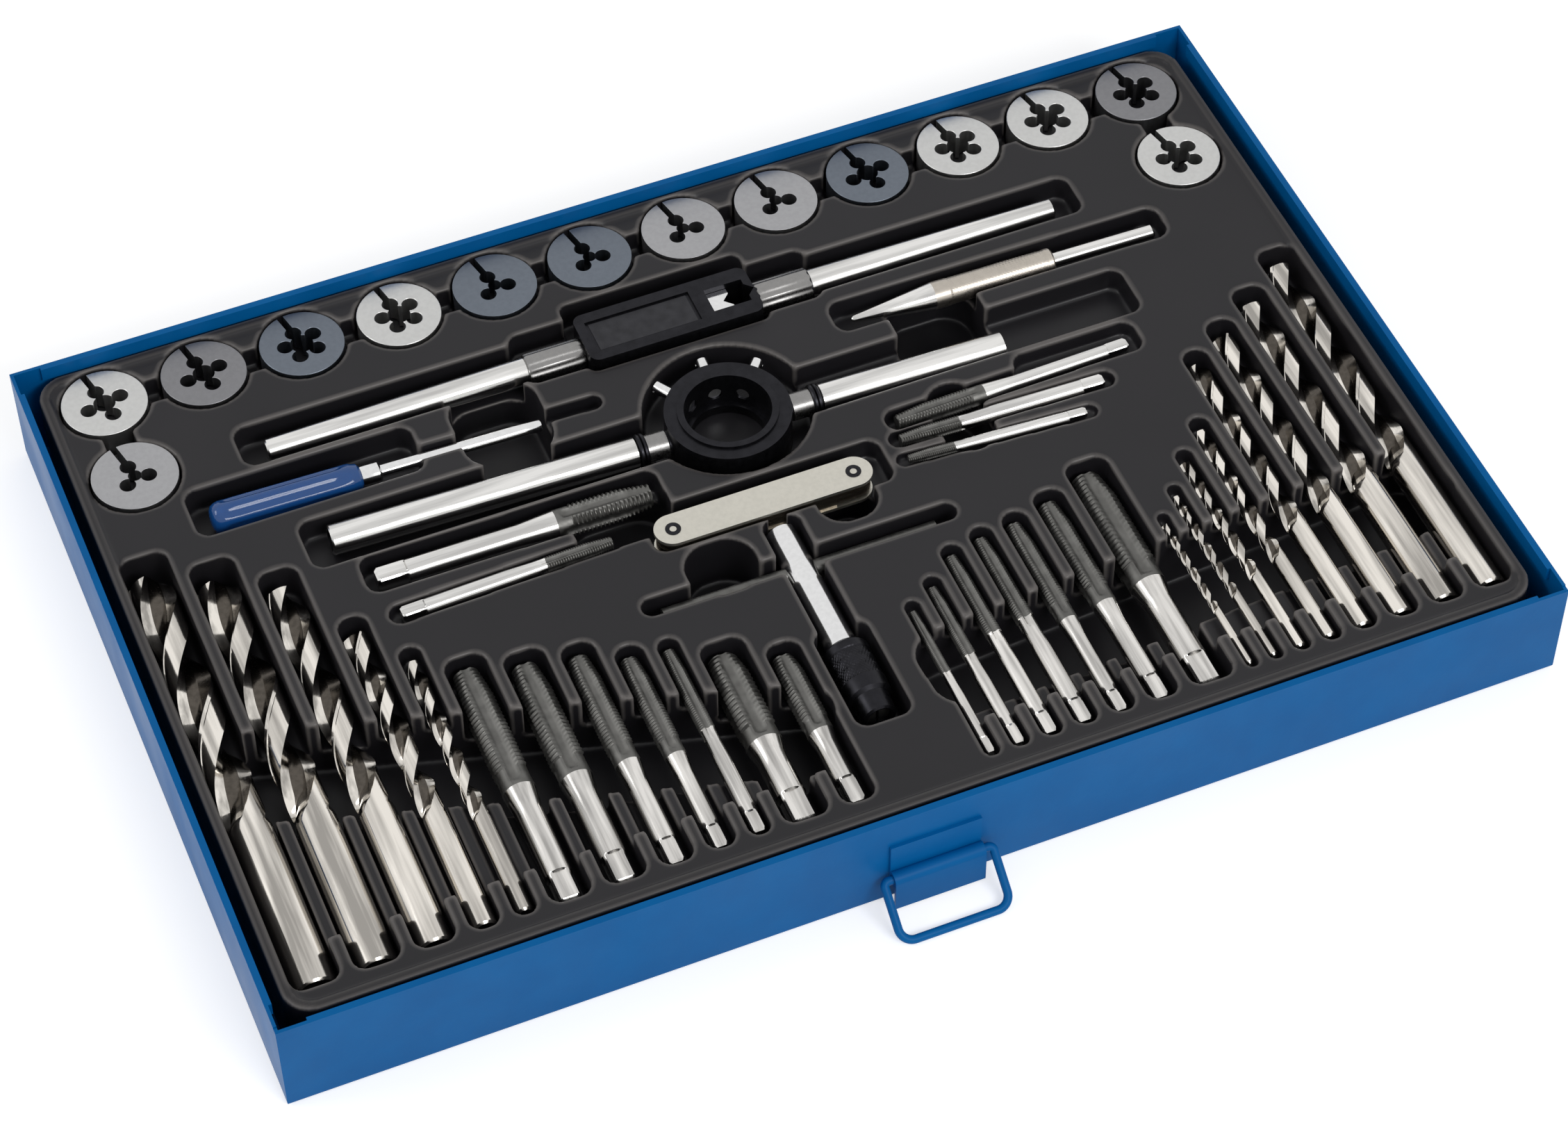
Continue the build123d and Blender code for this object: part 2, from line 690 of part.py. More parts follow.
with BuildPart() as tap_wrench_fixed_handle:
    right_face = wrench_right - wrench_x + neck_length
    with BuildSketch(wrench_axis.offset(right_face)):
        Circle(handle_inner / 2)
    with BuildSketch(wrench_axis.offset(right_face + handle_length)):
        Circle(handle_outer / 2)
    loft()

tap_wrench_fixed_handle.part.label = "tap_wrench_fixed_handle"
export_step(tap_wrench_fixed_handle.part, "parts/tap_wrench_fixed_handle.step")

# ---- die stock: ring with a seat for a die, two necks, tube handles and clamping screws
stock_seat = Plane(origin=stock_centre, x_dir=stock_run, z_dir=(0, 0, 1))
ring_bore = die_radius + ring_clearance
ring_middle = (ring_radius + ring_bore) / 2
with BuildPart() as die_stock_ring:
    with BuildSketch(stock_seat.offset(-ring_height / 2)):
        Circle(ring_radius)
        Circle(ring_bore - ring_shoulder, mode=Mode.SUBTRACT)
    extrude(amount=ring_shoulder_height)
    with BuildSketch(stock_seat.offset(ring_shoulder_height - ring_height / 2)):
        Circle(ring_radius)
        Circle(ring_bore, mode=Mode.SUBTRACT)
    extrude(amount=ring_height - ring_shoulder_height)
    with BuildSketch(stock_seat.offset(ring_height / 2)):
        Circle(ring_bore + ring_lip[0])
        Circle(ring_bore, mode=Mode.SUBTRACT)
    extrude(amount=ring_lip[1])
    for side in (-1, 1):
        neck_seat = Plane(origin=stock_centre + stock_run * side * ring_middle, z_dir=stock_run * side)
        with BuildSketch(neck_seat):
            Circle(stock_neck[0] / 2)
        extrude(amount=stock_neck_end - ring_middle)
    for angle in set_screw_angles:
        screw_run = Vector(cos(radians(angle)), sin(radians(angle)), 0)
        with BuildSketch(Plane(origin=stock_centre, z_dir=screw_run)):
            Circle(set_screw_diameter / 2 + screw_clearance)
        extrude(amount=ring_diameter, mode=Mode.SUBTRACT)

die_stock_ring.part.label = "die_stock_ring"
export_step(die_stock_ring.part, "parts/die_stock_ring.step")

for label, side, length in (
    ("die_stock_handle_left", -1, stock_handle_left),
    ("die_stock_handle_right", 1, stock_handle_right),
):
    with BuildPart() as stock_handle:
        with BuildSketch(Plane(origin=stock_centre + stock_run * side * stock_neck_end, z_dir=stock_run * side)):
            Circle(stock_handle_diameter / 2)
            Circle(stock_handle_diameter / 2 - stock_handle_wall, mode=Mode.SUBTRACT)
        extrude(amount=length)
    stock_handle.part.label = label
    export_step(stock_handle.part, f"parts/{label}.step")

for number, angle in enumerate(set_screw_angles, 1):
    screw_run = Vector(cos(radians(angle)), sin(radians(angle)), 0)
    screw_seat = Plane(origin=stock_centre + screw_run * (ring_bore + screw_tip_gap), z_dir=screw_run)
    with BuildPart() as set_screw:
        with BuildSketch(screw_seat):
            Circle(set_screw_diameter / 2)
        extrude(amount=set_screw_length)
        with BuildSketch(screw_seat.offset(set_screw_length - set_screw_slot[1])):
            Rectangle(set_screw_diameter, set_screw_slot[0])
        extrude(amount=set_screw_slot[1], mode=Mode.SUBTRACT)
    set_screw.part.label = f"set_screw_{number}"
    export_step(set_screw.part, f"parts/set_screw_{number}.step")

# ---- T-handle tap wrench: spindle with a cross hole, sliding bar, threaded chuck and two jaws
tee_axis = Plane(origin=(tee_x, tee_front, tee_z), x_dir=(1, 0, 0), z_dir=(0, 1, 0))
chuck_total = chuck_length + chuck_nose_length
with BuildPart() as t_wrench_spindle:
    with BuildSketch(tee_axis.offset(chuck_total + seat_gap)):
        Circle(tee_shaft / 2)
    extrude(amount=tee_back - tee_front - chuck_total - seat_gap)
    with BuildSketch(tee_axis.offset(jaw_inset + jaw_length)):
        Circle(spindle_nose / 2)
    extrude(amount=chuck_total + seat_gap - jaw_inset - jaw_length)
    with BuildSketch(Plane(origin=(tee_x - tee_shaft, tee_bar_y, tee_z), z_dir=(1, 0, 0))):
        Circle(tee_bar_diameter / 2 + tee_bar_clearance)
    extrude(amount=2 * tee_shaft, mode=Mode.SUBTRACT)

t_wrench_spindle.part.label = "t_wrench_spindle"
export_step(t_wrench_spindle.part, "parts/t_wrench_spindle.step")

with BuildPart() as t_wrench_bar:
    with BuildSketch(Plane(origin=(tee_x - tee_bar_length / 2, tee_bar_y, tee_z), z_dir=(1, 0, 0))):
        Circle(tee_bar_diameter / 2)
    extrude(amount=tee_bar_length)

t_wrench_bar.part.label = "t_wrench_bar"
export_step(t_wrench_bar.part, "parts/t_wrench_bar.step")

with BuildPart() as t_wrench_chuck:
    with BuildSketch(tee_axis):
        Circle(chuck_nose / 2)
    extrude(amount=chuck_nose_length)
    with BuildSketch(tee_axis.offset(chuck_nose_length)):
        Circle(chuck_diameter / 2)
    extrude(amount=chuck_length)
    with BuildSketch(tee_axis):
        Circle(spindle_nose / 2 + chuck_clearance)
    extrude(amount=chuck_total, mode=Mode.SUBTRACT)

t_wrench_chuck.part.label = "t_wrench_chuck"
export_step(t_wrench_chuck.part, "parts/t_wrench_chuck.step")

with BuildPart() as t_wrench_jaws:
    with BuildSketch(tee_axis.offset(jaw_inset)):
        Circle(spindle_nose / 2)
        Rectangle(jaw_gap, spindle_nose, mode=Mode.SUBTRACT)
    extrude(amount=jaw_length)

t_wrench_jaws.part.label = "t_wrench_jaws"
export_step(t_wrench_jaws.part, "parts/t_wrench_jaws.step")

# ---- screw pitch gauge: two plates on two rivets, with the notched leaves between them
rivet_places = [(gauge_x + side * gauge_rivet_span / 2, gauge_y) for side in (-1, 1)]
gauge_bottom = cross_top - gauge_height
with BuildPart() as pitch_gauge_case:
    for level in (gauge_bottom, cross_top - gauge_plate):
        with BuildSketch(Plane.XY.offset(level)):
            with Locations((gauge_x, gauge_y)):
                SlotOverall(gauge_length, gauge_width)
        extrude(amount=gauge_plate)
    with BuildSketch(Plane.XY.offset(gauge_bottom)):
        with Locations(*rivet_places):
            Circle(gauge_rivet / 2)
    extrude(amount=gauge_height)
    with BuildSketch(Plane.XY.offset(gauge_bottom)):
        with Locations(*rivet_places):
            Circle(gauge_eyelet / 2)
    extrude(amount=gauge_height, mode=Mode.SUBTRACT)

pitch_gauge_case.part.label = "pitch_gauge_case"
export_step(pitch_gauge_case.part, "parts/pitch_gauge_case.step")

leaf_room = gauge_height - 2 * gauge_plate
leaf_thickness = leaf_room / gauge_leaves - leaf_gap
with BuildPart() as pitch_gauge_leaves:
    for number in range(gauge_leaves):
        side = 1 if number % 2 else -1
        level = gauge_bottom + gauge_plate + leaf_gap / 2 + number * (leaf_thickness + leaf_gap)
        with BuildSketch(Plane.XY.offset(level)):
            with Locations((gauge_x, gauge_y)):
                Rectangle(gauge_rivet_span - 4 * gauge_rivet, gauge_width - 2 * leaf_inset)
            with Locations(rivet_places[number % 2]):
                Circle(gauge_width / 2 - leaf_inset)
                Circle(gauge_rivet / 2 + screw_clearance, mode=Mode.SUBTRACT)
            with Locations((gauge_x + side * gauge_rivet_span / 4, gauge_y)):
                Rectangle(gauge_rivet_span / 2 - gauge_rivet, gauge_width - 2 * leaf_inset)
                with Locations((side * gauge_rivet_span / 4, 0)):
                    Circle(gauge_rivet / 2 + screw_clearance, mode=Mode.SUBTRACT)
        extrude(amount=leaf_thickness)

pitch_gauge_leaves.part.label = "pitch_gauge_leaves"
export_step(pitch_gauge_leaves.part, "parts/pitch_gauge_leaves.step")

# ---- screwdriver: fluted plastic handle, and a blade whose collar meets it
driver_seat = lying(*driver_ends, driver_z)
driver_length = span(*driver_ends)[1]
with BuildPart() as screwdriver_handle:
    with BuildSketch(driver_seat):
        Circle(driver_handle[1] / 2)
    extrude(amount=driver_handle[0])
    driver_run = Axis(driver_seat.origin, driver_seat.z_dir)
    fillet(screwdriver_handle.faces().group_by(driver_run)[0].edges(), radius=driver_cap[0])
    with BuildSketch(driver_seat.offset(driver_cap[1])):
        with PolarLocations(driver_handle[1] / 2 + driver_flute / 2, driver_flutes):
            Circle(driver_flute)
    extrude(amount=driver_handle[0] - 2 * driver_cap[1], mode=Mode.SUBTRACT)

screwdriver_handle.part.label = "screwdriver_handle"
export_step(screwdriver_handle.part, "parts/screwdriver_handle.step")

with BuildPart() as screwdriver_blade:
    with BuildSketch(driver_seat.offset(driver_handle[0])):
        Circle(driver_collar[1] / 2)
    extrude(amount=driver_collar[0])
    with BuildSketch(driver_seat.offset(driver_handle[0] + driver_collar[0])):
        Circle(driver_shaft / 2)
    extrude(amount=driver_length - driver_handle[0] - driver_collar[0])

screwdriver_blade.part.label = "screwdriver_blade"
export_step(screwdriver_blade.part, "parts/screwdriver_blade.step")

# ---- centre punch: tapered point, knurled grip and plain rod
punch_seat = lying(*punch_ends, punch_z)
punch_length = span(*punch_ends)[1]
with BuildPart() as centre_punch:
    with BuildSketch(punch_seat):
        Circle(punch_tip[1] / 2)
    with BuildSketch(punch_seat.offset(punch_tip[0])):
        Circle(punch_body[1] / 2)
    loft()
    with BuildSketch(punch_seat.offset(punch_tip[0])):
        Circle(punch_body[1] / 2)
    extrude(amount=punch_body[0])
    with BuildSketch(punch_seat.offset(punch_tip[0] + punch_body[0])):
        Circle(punch_rod / 2)
    extrude(amount=punch_length - punch_tip[0] - punch_body[0])

centre_punch.part.label = "centre_punch"
export_step(centre_punch.part, "parts/centre_punch.step")
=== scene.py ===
"""Looks for the tap and die storage drawer: painted steel, a formed black insert and its tools."""

import json
import math

import bmesh
import bpy
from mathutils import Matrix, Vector


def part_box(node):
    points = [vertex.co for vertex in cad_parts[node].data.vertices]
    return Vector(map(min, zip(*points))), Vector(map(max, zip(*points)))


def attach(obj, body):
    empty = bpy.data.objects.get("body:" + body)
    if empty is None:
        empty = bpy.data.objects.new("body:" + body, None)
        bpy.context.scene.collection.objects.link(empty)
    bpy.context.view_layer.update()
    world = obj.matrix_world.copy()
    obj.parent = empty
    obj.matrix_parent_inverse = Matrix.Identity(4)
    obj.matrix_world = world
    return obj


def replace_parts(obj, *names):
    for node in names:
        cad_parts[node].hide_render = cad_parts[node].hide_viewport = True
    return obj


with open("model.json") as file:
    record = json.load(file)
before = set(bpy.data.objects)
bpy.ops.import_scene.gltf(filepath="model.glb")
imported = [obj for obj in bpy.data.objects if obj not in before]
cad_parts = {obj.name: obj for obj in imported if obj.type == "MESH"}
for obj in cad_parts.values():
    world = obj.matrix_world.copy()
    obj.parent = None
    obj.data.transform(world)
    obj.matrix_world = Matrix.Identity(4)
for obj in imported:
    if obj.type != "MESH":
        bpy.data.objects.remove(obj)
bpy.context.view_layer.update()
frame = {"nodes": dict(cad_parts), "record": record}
NODES = frame["nodes"]
BODY_OF_NODE = {
    node: body for body, members in frame["record"]["behaviour"]["bodies"].items() for node in members
}
MM = 0.001

# ---- view: place in metres, turn in degrees, lens and sensor in millimetres
CAMERA_PLACE = (-0.2945, -0.7284, 0.9515)
CAMERA_TURN = (39.325, 0.281, -22.599)
CAMERA_LENS = 96.88
CAMERA_SENSOR = 36

# ---- light: each lamp's place and width in metres, and its power
LAMPS = {
    "front_key": ((0.3, -1.3, 1.1), 0.9, 11),
    "left_fill": ((-1.3, 0.4, 1.1), 0.7, 5),
}
LAMP_DEPTH = 0.5
ROOM_STRENGTH = 0.42
FLOOR_GLOW = 0.5
FLOOR_REACH = 6.0
FLOOR_DROP = 0.0002

# ---- sharp edges: the angle in degrees from which an edge stays sharp, or is broken
SKIN_ANGLE = 35
NODE_ANGLE = 30
BROKEN_ANGLE = 50
SHEET_BREAK = 0.35
DIE_BREAK = 0.35

# ---- insert; this and all sizes below are in millimetres
INSERT_CORNER = 9.0
INSERT_SKIN = 1.5
CORNER_DROP = 1.6
CORNER_STEPS = 12
VOXEL = 0.7

# ---- drills and taps: a middle tap has its tip, its square end, its diameter and its thread's length
DRILL_NODES = [f"drill_{number}" for number in range(1, 14)]
ROW_TAPS = [f"tap_{number}" for number in range(1, 15)]
MIDDLE_TAPS = {
    "tap_15": ((-31.8, 15.1), (-114.8, 15.7), 9.6, 29.0),
    "tap_16": ((-48.8, 1.1), (-112.8, -0.9), 5.0, 24.0),
    "tap_17": ((44.2, 11.7), (119.2, 13.5), 6.6, 28.0),
    "tap_18": ((42.2, 4.5), (106.2, 2.5), 5.0, 22.0),
    "tap_19": ((41.2, -3.5), (96.2, -7.1), 3.6, 17.0),
}
CROSS_TOP = 31.0
HELIX_ANGLE = math.radians(30)
FLUTE_SHARE = 0.64
FLUTE_RADIUS = 0.92
FLUTE_CENTRE = 1.14
POINT_ANGLE = math.radians(118)
MARGIN_ANGLE = math.radians(11)
CLEARED_RADIUS = 0.955
FLUTE_PAINT = 0.94
DRILL_CHAMFER = 0.6
STEPS_PER_TURN = 48
LEAST_STEPS = 40
THREAD_SHARE = 0.52
SHANK_SHARE = 0.74
SLIM_TAP = 6.0
SQUARE_SHARE = 0.78
SQUARE_LENGTH_SHARE = 0.95
SQUARE_RUN = 2.0
TAP_LEAD = 0.12
FINE_RIDGE = 0.035
COARSE_RIDGE = 0.085
TAP_SIDES = 64
RUN_OUT_SHARE = 0.15
RUN_OUT_RADIUS = 0.9
LEAD_TAPER = 0.24
TAP_FLUTE_HALF_ANGLE = 0.42
TAP_FLUTE_DEPTH = 0.36
STEPS_PER_THREAD = 5

# ---- gauge, wrenches, dies, screwdriver and punch
GAUGE_SPAN = 55.8
EYELET_RADIUS = 2.3
NECK_SIDES = 96
NECK_FLUTES = 12
SHADE_CARD_START = 4.0
SHADE_CARD_END = 35.0
SHADE_CARD_HALF_WIDTH = 5.4
SHADE_CARD_THICKNESS = 0.1
SHADE_CARD_SINK = 0.62
STOCK_ANGLE = math.radians(-1.7)
STOCK_CENTRE = Vector((-0.95, 30.95, 26.5))
RING_RADIUS = 18.75
NECK_RADIUS = 3.8
NECK_LENGTH = 9.5
STOCK_HANDLE_RADIUS = 4.5
STOCK_HANDLES = {"die_stock_handle_left": (-1, 93.0), "die_stock_handle_right": (1, 58.5)}
DIE_ROW_END = 166.9
DIE_ROW_Y = 106.8
DIE_COUNT = 12
DIE_REACH = 13.2
DRIVER_ENDS = ((-151.3, 55.3), (-51.3, 52.7))
DRIVER_HANDLE = (45.0, 4.9)
PUNCH_ENDS = ((48.6, 55.3), (146.8, 53.3))
PUNCH_RADIUS = 4.2


# ---------------------------------------------------------------- materials
class Shader:
    """A new material with one Principled shader, and short ways to feed it."""

    def __init__(self, name, colour, metallic, roughness, **sockets):
        self.material = bpy.data.materials.new(name)
        self.material.use_nodes = True
        self.tree = self.material.node_tree
        self.surface = self.tree.nodes["Principled BSDF"]
        self.place = self.tree.nodes.new("ShaderNodeTexCoord").outputs["Object"]
        self.put("Base Color", (*colour, 1.0))
        self.put("Metallic", metallic)
        self.put("Roughness", roughness)
        for socket, value in sockets.items():
            self.put(socket.replace("_", " "), value)

    def put(self, socket, value):
        self.surface.inputs[socket].default_value = value

    def node(self, kind, **settings):
        made = self.tree.nodes.new("ShaderNode" + kind)
        for key, value in settings.items():
            setattr(made, key, value)
        return made

    def link(self, output, target):
        self.tree.links.new(output, target)

    def stretched(self, stretch):
        """Object coordinates, scaled differently along X, Y and Z."""
        mapping = self.node("Mapping")
        mapping.inputs["Scale"].default_value = stretch
        self.link(self.place, mapping.inputs["Vector"])
        return mapping.outputs["Vector"]

    def noise(self, scale, stretch=(1, 1, 1), detail=3.0):
        made = self.node("TexNoise")
        made.inputs["Scale"].default_value = scale
        made.inputs["Detail"].default_value = detail
        self.link(self.stretched(stretch), made.inputs["Vector"])
        return made.outputs["Fac"]

    def between(self, factor, low, high, start=0.3, end=0.7):
        """A number that follows a factor from low to high."""
        made = self.node("MapRange")
        made.inputs["From Min"].default_value = start
        made.inputs["From Max"].default_value = end
        made.inputs["To Min"].default_value = low
        made.inputs["To Max"].default_value = high
        self.link(factor, made.inputs["Value"])
        return made.outputs["Result"]

    def vary_roughness(self, factor, low, high):
        self.link(self.between(factor, low, high), self.surface.inputs["Roughness"])

    def ramp(self, factor, *stops):
        """A colour from a ramp of (position, colour) stops."""
        made = self.node("ValToRGB")
        elements = made.color_ramp.elements
        while len(elements) < len(stops):
            elements.new(0.5)
        for element, (position, colour) in zip(elements, stops):
            element.position = position
            element.color = (*colour, 1.0)
        self.link(factor, made.inputs["Fac"])
        return made.outputs["Color"]

    def vary_colour(self, factor, *stops):
        self.link(self.ramp(factor, *stops), self.surface.inputs["Base Color"])

    def painted_edge_highlight(self, factor, colour, flat=0.51, sharp=0.545):
        """Mottled colour with a painted highlight: lighter where the surface is a convex edge."""
        edge = self.between(self.node("NewGeometry").outputs["Pointiness"], 0.0, 1.0, flat, sharp)
        mix = self.node("MixRGB")
        self.link(edge, mix.inputs["Fac"])
        self.link(factor, mix.inputs["Color1"])
        mix.inputs["Color2"].default_value = (*colour, 1.0)
        self.link(mix.outputs["Color"], self.surface.inputs["Base Color"])

    def bump(self, height, strength, distance):
        made = self.node("Bump")
        made.inputs["Strength"].default_value = strength
        made.inputs["Distance"].default_value = distance
        self.link(height, made.inputs["Height"])
        self.link(made.outputs["Normal"], self.surface.inputs["Normal"])


def blue_paint():
    shader = Shader("blue_paint", (0.0, 0.115, 0.36), 0.0, 0.4, Specular_IOR_Level=0.12)
    shader.vary_colour(shader.noise(60, detail=4), (0.3, (0.0, 0.108, 0.335)), (0.7, (0.0, 0.125, 0.375)))
    shader.vary_roughness(shader.noise(25), 0.34, 0.48)
    shader.bump(shader.noise(900, detail=2), 0.1, 0.0002)
    return shader.material


def formed_sheet():
    shader = Shader("formed_sheet", (0.012, 0.0115, 0.0135), 0.0, 0.38, Specular_IOR_Level=0.3)
    mottle = shader.ramp(
        shader.noise(18), (0.3, (0.0105, 0.01, 0.012)), (0.7, (0.0145, 0.0135, 0.016))
    )
    # painted highlight: the insert's convex edges are lightened, standing in for the light that catches them
    shader.painted_edge_highlight(mottle, (0.13, 0.12, 0.115))
    shader.vary_roughness(shader.noise(40, detail=5), 0.33, 0.46)
    shader.bump(shader.noise(2600, detail=2), 0.08, 0.0001)
    return shader.material


def steel(name, colour, roughness, grain=(1, 1, 1), spread=0.06, depth=0.94, streaks=700):
    """Ground or plated steel: fine scratches and streaks, stretched along the grain."""
    shader = Shader(name, colour, 1.0, roughness)
    scratches = shader.noise(1500, grain, 2)
    dark = tuple(depth * part for part in colour)
    shader.vary_colour(shader.noise(streaks, grain), (0.36, dark), (0.62, colour))
    shader.vary_roughness(scratches, roughness - spread, roughness + spread)
    shader.bump(scratches, 0.05, 0.0001)
    return shader.material


def oxide(name, colour, roughness):
    """Blackened steel: dark, satin and a little uneven."""
    shader = Shader(name, colour, 0.9, roughness)
    dark = tuple(0.7 * part for part in colour)
    shader.vary_colour(shader.noise(350), (0.3, dark), (0.7, colour))
    shader.vary_roughness(shader.noise(700), roughness - 0.07, roughness + 0.09)
    shader.bump(shader.noise(2500), 0.1, 0.0001)
    return shader.material


def blue_plastic():
    shader = Shader("blue_plastic", (0.012, 0.1, 0.36), 0.0, 0.1, Transmission_Weight=0.3, IOR=1.49)
    shader.vary_roughness(shader.noise(120), 0.06, 0.18)
    return shader.material


PAINT = blue_paint()
SHEET = formed_sheet()
ALONG_X = (0.05, 1, 1)
ALONG_Y = (1, 0.05, 1)
CHROME = steel("chrome", (0.74, 0.74, 0.74), 0.13, spread=0.04)
BRIGHT = steel("bright_steel", (0.76, 0.75, 0.73), 0.18, ALONG_X, depth=0.66, streaks=420)
ROW_STEEL = steel("row_steel", (0.74, 0.72, 0.69), 0.18, ALONG_Y, depth=0.5, streaks=420)
NECK = steel("neck_steel", (0.26, 0.255, 0.25), 0.3)
FLUTED = steel("flute_steel", (0.1, 0.088, 0.075), 0.22, depth=0.75)
DRILL = steel("drill_steel", (0.8, 0.76, 0.7), 0.14, ALONG_Y, depth=0.42, streaks=330)
WARM = steel("leaf_steel", (0.3, 0.26, 0.21), 0.34)
PLATE = steel("gauge_plate", (0.58, 0.56, 0.5), 0.4)
KNURLED = steel("knurled_steel", (0.47, 0.43, 0.38), 0.32)
OXIDE = oxide("black_oxide", (0.15, 0.148, 0.14), 0.4)
BLACK = oxide("black_finish", (0.022, 0.022, 0.026), 0.34)
# painted shade: the finish of the dark card in the wrench body's top
SHADE = oxide("shade_card_black", (0.045, 0.045, 0.05), 0.42)
PLASTIC = blue_plastic()
DIE_BRIGHT = steel("die_bright", (0.56, 0.56, 0.55), 0.34)
DIE_LIGHT = steel("die_light", (0.36, 0.36, 0.37), 0.36)
DIE_GREY = steel("die_grey", (0.22, 0.22, 0.23), 0.38)
DIE_BLUE = steel("die_blue", (0.15, 0.17, 0.2), 0.38)
DIE_FINISHES = (
    DIE_BRIGHT, DIE_GREY, DIE_BLUE, DIE_BRIGHT, DIE_BLUE, DIE_BLUE, DIE_LIGHT,
    DIE_LIGHT, DIE_BLUE, DIE_BRIGHT, DIE_BRIGHT, DIE_GREY, DIE_LIGHT, DIE_BRIGHT,
)


# ---------------------------------------------------------------- mesh makers
def new_piece(name, mesh, body, *materials):
    """A mesh object that rides on a body and wears these materials."""
    piece = bpy.data.objects.new(name, mesh)
    bpy.context.scene.collection.objects.link(piece)
    for material in materials:
        mesh.materials.append(material)
    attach(piece, body)
    return piece


def smooth(mesh, angle):
    """Smooth shading, with sharp edges kept where faces meet at more than this angle in degrees."""
    mesh.shade_smooth()
    mesh.set_sharp_from_angle(angle=math.radians(angle))


def bevelled(piece, width):
    """Small rounded edges, in millimetres, where faces meet sharply."""
    bevel = piece.modifiers.new("broken_edges", "BEVEL")
    bevel.width = width * MM
    bevel.segments = 2
    bevel.limit_method = "ANGLE"
    bevel.angle_limit = math.radians(BROKEN_ANGLE)


def ring_skin(name, seat, angles, rings, paints):
    """A skin through rings round an axis, in millimetres, closed by a point on the axis at each end.

    seat is (start, run): the axis start and its unit direction. A ring is (distance, radii, twist), with a
    radius for each angle. paints has a material slot for each band, or one for each face of the band.
    """
    start, run = seat
    side = Vector((-run.y, run.x, 0)) if abs(run.z) < 0.5 else Vector((1, 0, 0))
    up = run.cross(side)
    count = len(angles)
    points = [start + run * rings[0][0], start + run * rings[-1][0]]
    for distance, radii, twist in rings:
        for around_axis, radius in zip(angles, radii):
            spoke = side * math.cos(around_axis + twist) + up * math.sin(around_axis + twist)
            points.append(start + run * distance + spoke * radius)
    faces = []
    slots = []
    for row, paint in enumerate(paints):
        for column in range(count):
            low = 2 + row * count + column
            beside = 2 + row * count + (column + 1) % count
            faces.append((low, beside, beside + count, low + count))
            slots.append(paint[column] if isinstance(paint, list) else paint)
    last = 2 + (len(rings) - 1) * count
    for column in range(count):
        beside = (column + 1) % count
        faces.append((2 + beside, 2 + column, 0))
        slots.append(slots[0])
        faces.append((last + column, last + beside, 1))
        slots.append(slots[(len(paints) - 1) * count])
    mesh = bpy.data.meshes.new(name)
    mesh.from_pydata([tuple(point * MM) for point in points], [], faces)
    mesh.polygons.foreach_set("material_index", slots)
    smooth(mesh, SKIN_ANGLE)
    return mesh


def lathe(name, seat, profile, sides=48, ripple=None):
    """A turned solid. The profile is a list of (distance, radius, slot of the band that follows).

    sides is the number of faces round it, and ripple(distance, angle) is a depth that is cut from the radius.
    """
    angles = around(sides)
    rings = []
    for distance, radius, slot in profile:
        radii = [radius - (ripple(distance, angle) if ripple else 0.0) for angle in angles]
        rings.append((distance, radii, 0.0))
    return ring_skin(name, seat, angles, rings, [slot for distance, radius, slot in profile[:-1]])


def even(start, end, count):
    return [start + (end - start) * step / count for step in range(count + 1)]


def around(count):
    return [2 * math.pi * step / count for step in range(count)]


def ease(value):
    value = min(max(value, 0.0), 1.0)
    return value * value * (3 - 2 * value)


def box_of(node):
    """A node's lowest and highest corners, in millimetres."""
    return [Vector(corner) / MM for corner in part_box(node)]


def seat_of(node):
    """Axis start, direction, diameter and length of a tool that lies along +Y, all read from its node."""
    low, high = box_of(node)
    start = Vector(((low.x + high.x) / 2, low.y, (low.z + high.z) / 2))
    return (start, Vector((0, 1, 0))), high.x - low.x, high.y - low.y


def across(start, end, radius):
    """Axis start, direction and length of a tool that lies across the drawer, its top at CROSS_TOP."""
    run = Vector((end[0] - start[0], end[1] - start[1], 0))
    return (Vector((*start, CROSS_TOP - radius)), run.normalized()), run.length


# ---------------------------------------------------------------- drawer and insert
def coat(node, material):
    """Gives a CAD node, which keeps its own shape, a finish."""
    piece = NODES[node]
    piece.data.materials.clear()
    piece.data.materials.append(material)
    smooth(piece.data, NODE_ANGLE)
    return piece


def dress_drawer():
    for node in ("drawer_tray", "handle_bracket", "bail_handle"):
        coat(node, PAINT)
    bevelled(NODES["drawer_tray"], SHEET_BREAK)


def formed_insert():
    """The insert's solid, remeshed finely and relaxed, so that every edge has a formed sheet's radius."""
    piece = new_piece("formed_insert", NODES["tool_insert"].data.copy(), "insert")
    piece.data.materials.clear()
    piece.data.materials.append(SHEET)
    close_corners(piece.data)
    remesh = piece.modifiers.new("remesh", "REMESH")
    remesh.mode = "VOXEL"
    remesh.voxel_size = VOXEL * MM
    relax = piece.modifiers.new("relax", "SMOOTH")
    relax.factor = 0.5
    relax.iterations = 4
    bake(piece)
    piece.data.shade_smooth()
    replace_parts(piece, "tool_insert")


